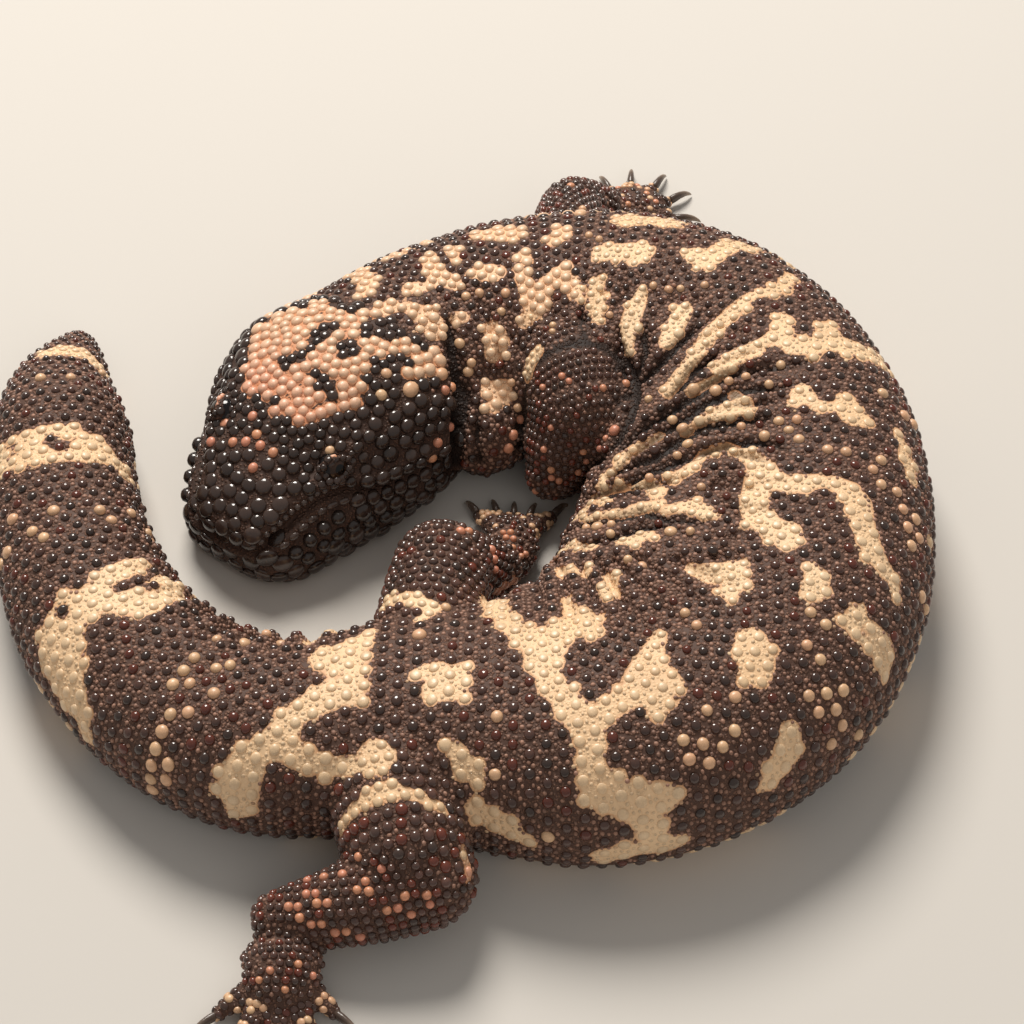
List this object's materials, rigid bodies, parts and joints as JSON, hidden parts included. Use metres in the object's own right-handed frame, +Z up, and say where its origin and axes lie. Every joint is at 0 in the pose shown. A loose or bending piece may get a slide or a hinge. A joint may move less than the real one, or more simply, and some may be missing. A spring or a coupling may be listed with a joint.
{
  "type": "gila monster",
  "caption": "Still life-size gila monster curled at rest on its belly, broad head turned back to its side, beaded dark and orange-pink hide, short fat tail.",
  "frame": {"origin": "centre of the animal's bounding box in plan, on the floor under its belly", "axes": "+Z up, +Y along the longest extent, from the hind foot to the far front foot; the head lies on the -X side"},
  "size_m": [0.1759, 0.2172, 0.034],
  "materials": {
    "dark_hide": "dark brown-black beaded hide with orange-pink markings, satin, glossy on the beads",
    "head_hide": "glossy near-black plates and beads, pink beads on the crown",
    "eye": "wet gloss",
    "claw": "horn, satin"
  },
  "bodies": {
    "root": {"claw_front_left_1": "claw", "claw_front_left_2": "claw", "claw_front_left_3": "claw", "claw_front_left_4": "claw", "claw_front_left_5": "claw", "claw_front_right_1": "claw", "claw_front_right_2": "claw", "claw_front_right_3": "claw", "claw_front_right_4": "claw", "claw_front_right_5": "claw", "claw_hind_left_1": "claw", "claw_hind_left_2": "claw", "claw_hind_left_3": "claw", "claw_hind_left_4": "claw", "claw_hind_left_5": "claw", "claw_hind_right_1": "claw", "claw_hind_right_2": "claw", "claw_hind_right_3": "claw", "claw_hind_right_4": "claw", "claw_hind_right_5": "claw", "eye_left": "eye", "eye_right": "eye", "foot_front_left": "dark_hide", "foot_front_right": "dark_hide", "foot_hind_left": "dark_hide", "foot_hind_right": "dark_hide", "head": "head_hide", "jaw": "head_hide", "leg_front_left_lower": "dark_hide", "leg_front_left_upper": "dark_hide", "leg_front_right_lower": "dark_hide", "leg_front_right_upper": "dark_hide", "leg_hind_left_lower": "dark_hide", "leg_hind_left_upper": "dark_hide", "leg_hind_right_lower": "dark_hide", "leg_hind_right_upper": "dark_hide", "loin": "dark_hide", "neck": "dark_hide", "pelvis": "dark_hide", "shoulders": "dark_hide", "tail_base": "dark_hide", "tail_bend": "dark_hide", "tail_middle": "dark_hide", "tail_tip": "dark_hide", "trunk_front": "dark_hide", "trunk_middle": "dark_hide", "trunk_rear": "dark_hide"}
  },
  "joints": []
}
